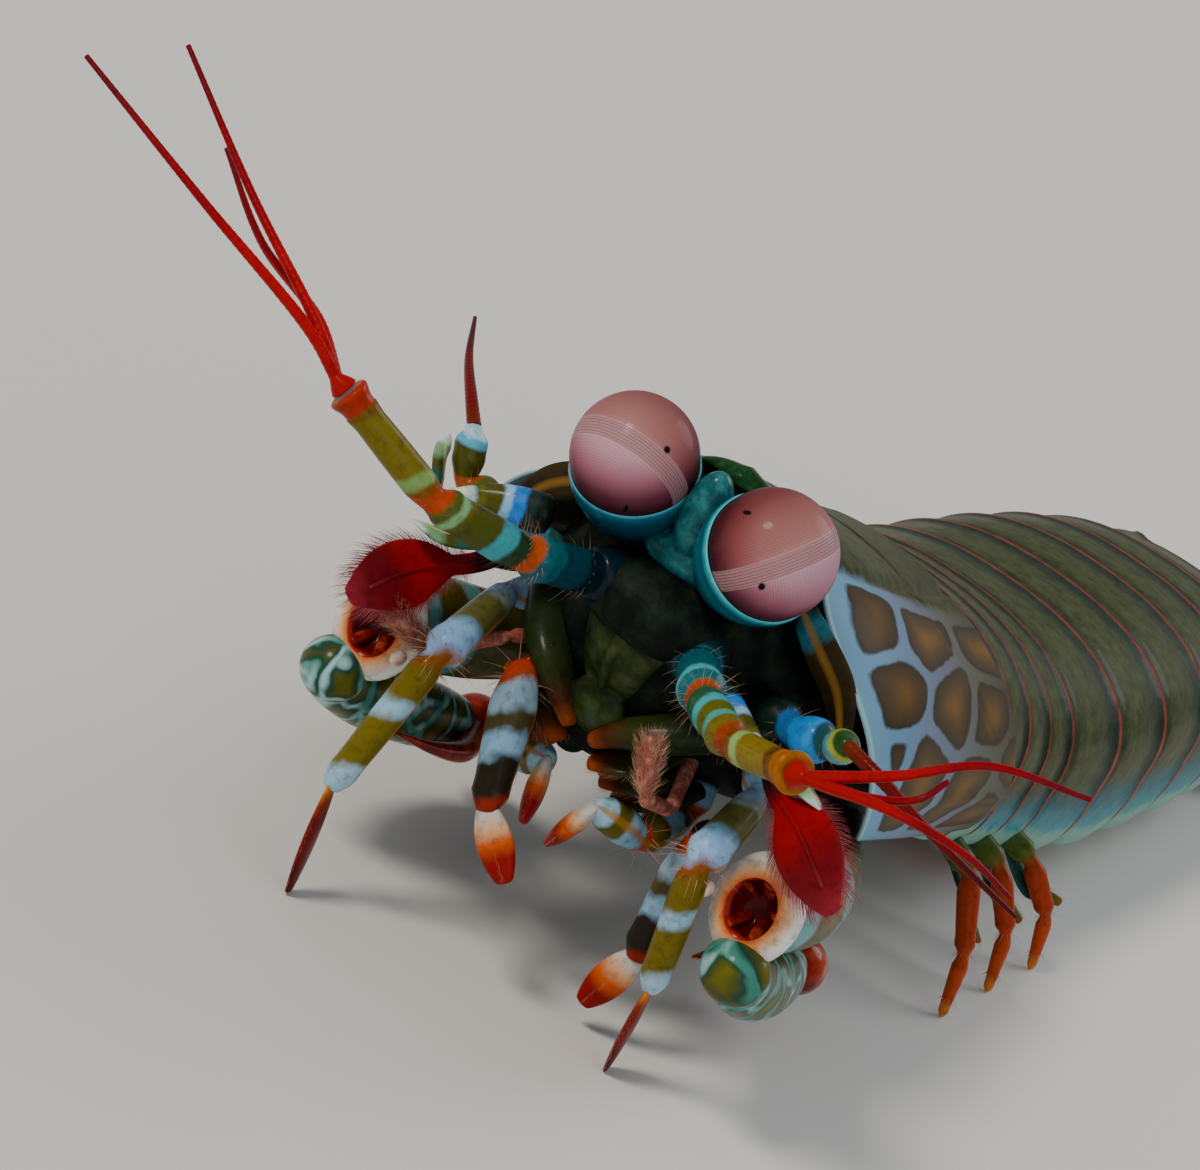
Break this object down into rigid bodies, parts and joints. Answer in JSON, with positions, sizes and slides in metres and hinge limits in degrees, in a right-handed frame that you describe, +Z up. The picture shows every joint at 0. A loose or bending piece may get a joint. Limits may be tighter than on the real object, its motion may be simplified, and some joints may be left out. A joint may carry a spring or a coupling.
{
  "type": "mantis shrimp figure",
  "caption": "Life-size mantis shrimp figure: round stalked eyes, banded feelers, folded clubbing claws, ringed body and a spined tail fan.",
  "frame": {"origin": "on the floor, under the middle of the outline box", "axes": "+Z up, +Y from the head to the tail fan, +X to the left side of the animal"},
  "size_m": [0.0616, 0.1682, 0.0379],
  "materials": {
    "body_shell": "glossy olive-green shell with red-orange hind edges",
    "carapace_shell": "glossy olive shell, brown spots in a pale blue net at the sides",
    "cornea": "mauve-pink faceted cornea, wet gloss",
    "eye_cup": "glossy teal to deep blue",
    "rostral_plate": "glossy dark green",
    "head_skin": "soft dark olive membrane",
    "banded_limb": "glossy pale blue, olive-yellow and orange bands",
    "feeler": "glossy olive with aqua bands and orange joints",
    "whip": "saturated clear red",
    "scale_blade": "crimson blade",
    "claw_shell": "glossy olive-yellow with a pale teal net and orange rim",
    "hammer": "hard glossy red-orange with pale heel",
    "walking_leg": "glossy orange-red",
    "swimming_leg": "thin orange leaf with a red edge",
    "tail_fan": "glossy blue-green with red-fringed paddles"
  },
  "bodies": {
    "root": {"abdomen_1": "body_shell", "abdomen_2": "body_shell", "abdomen_3": "body_shell", "abdomen_4": "body_shell", "abdomen_5": "body_shell", "abdomen_6": "body_shell", "antenna_left": "feeler", "antenna_right": "feeler", "antennal_scale_left": "scale_blade", "antennal_scale_right": "scale_blade", "antennule_left": "feeler", "antennule_right": "feeler", "antennule_whips_left": "whip", "antennule_whips_right": "whip", "carapace": "carapace_shell", "cephalothorax": "head_skin", "claw_hammer_left": "hammer", "claw_hammer_right": "hammer", "claw_hand_left": "claw_shell", "claw_hand_right": "claw_shell", "claw_merus_left": "claw_shell", "claw_merus_right": "claw_shell", "cornea_left": "cornea", "cornea_right": "cornea", "eye_stalk_left": "eye_cup", "eye_stalk_right": "eye_cup", "maxilliped_1_left": "banded_limb", "maxilliped_1_right": "banded_limb", "maxilliped_3_left": "banded_limb", "maxilliped_3_right": "banded_limb", "maxilliped_4_left": "banded_limb", "maxilliped_4_right": "banded_limb", "maxilliped_5_left": "banded_limb", "maxilliped_5_right": "banded_limb", "mouth": "head_skin", "ophthalmic_somite": "eye_cup", "pleopod_1_left": "swimming_leg", "pleopod_1_right": "swimming_leg", "pleopod_2_left": "swimming_leg", "pleopod_2_right": "swimming_leg", "pleopod_3_left": "swimming_leg", "pleopod_3_right": "swimming_leg", "pleopod_4_left": "swimming_leg", "pleopod_4_right": "swimming_leg", "pleopod_5_left": "swimming_leg", "pleopod_5_right": "swimming_leg", "rostral_plate": "rostral_plate", "telson": "body_shell", "thorax_6": "body_shell", "thorax_7": "body_shell", "thorax_8": "body_shell", "uropod_left": "tail_fan", "uropod_right": "tail_fan", "walking_leg_1_left": "walking_leg", "walking_leg_1_right": "walking_leg", "walking_leg_2_left": "walking_leg", "walking_leg_2_right": "walking_leg", "walking_leg_3_left": "walking_leg", "walking_leg_3_right": "walking_leg"}
  },
  "joints": []
}
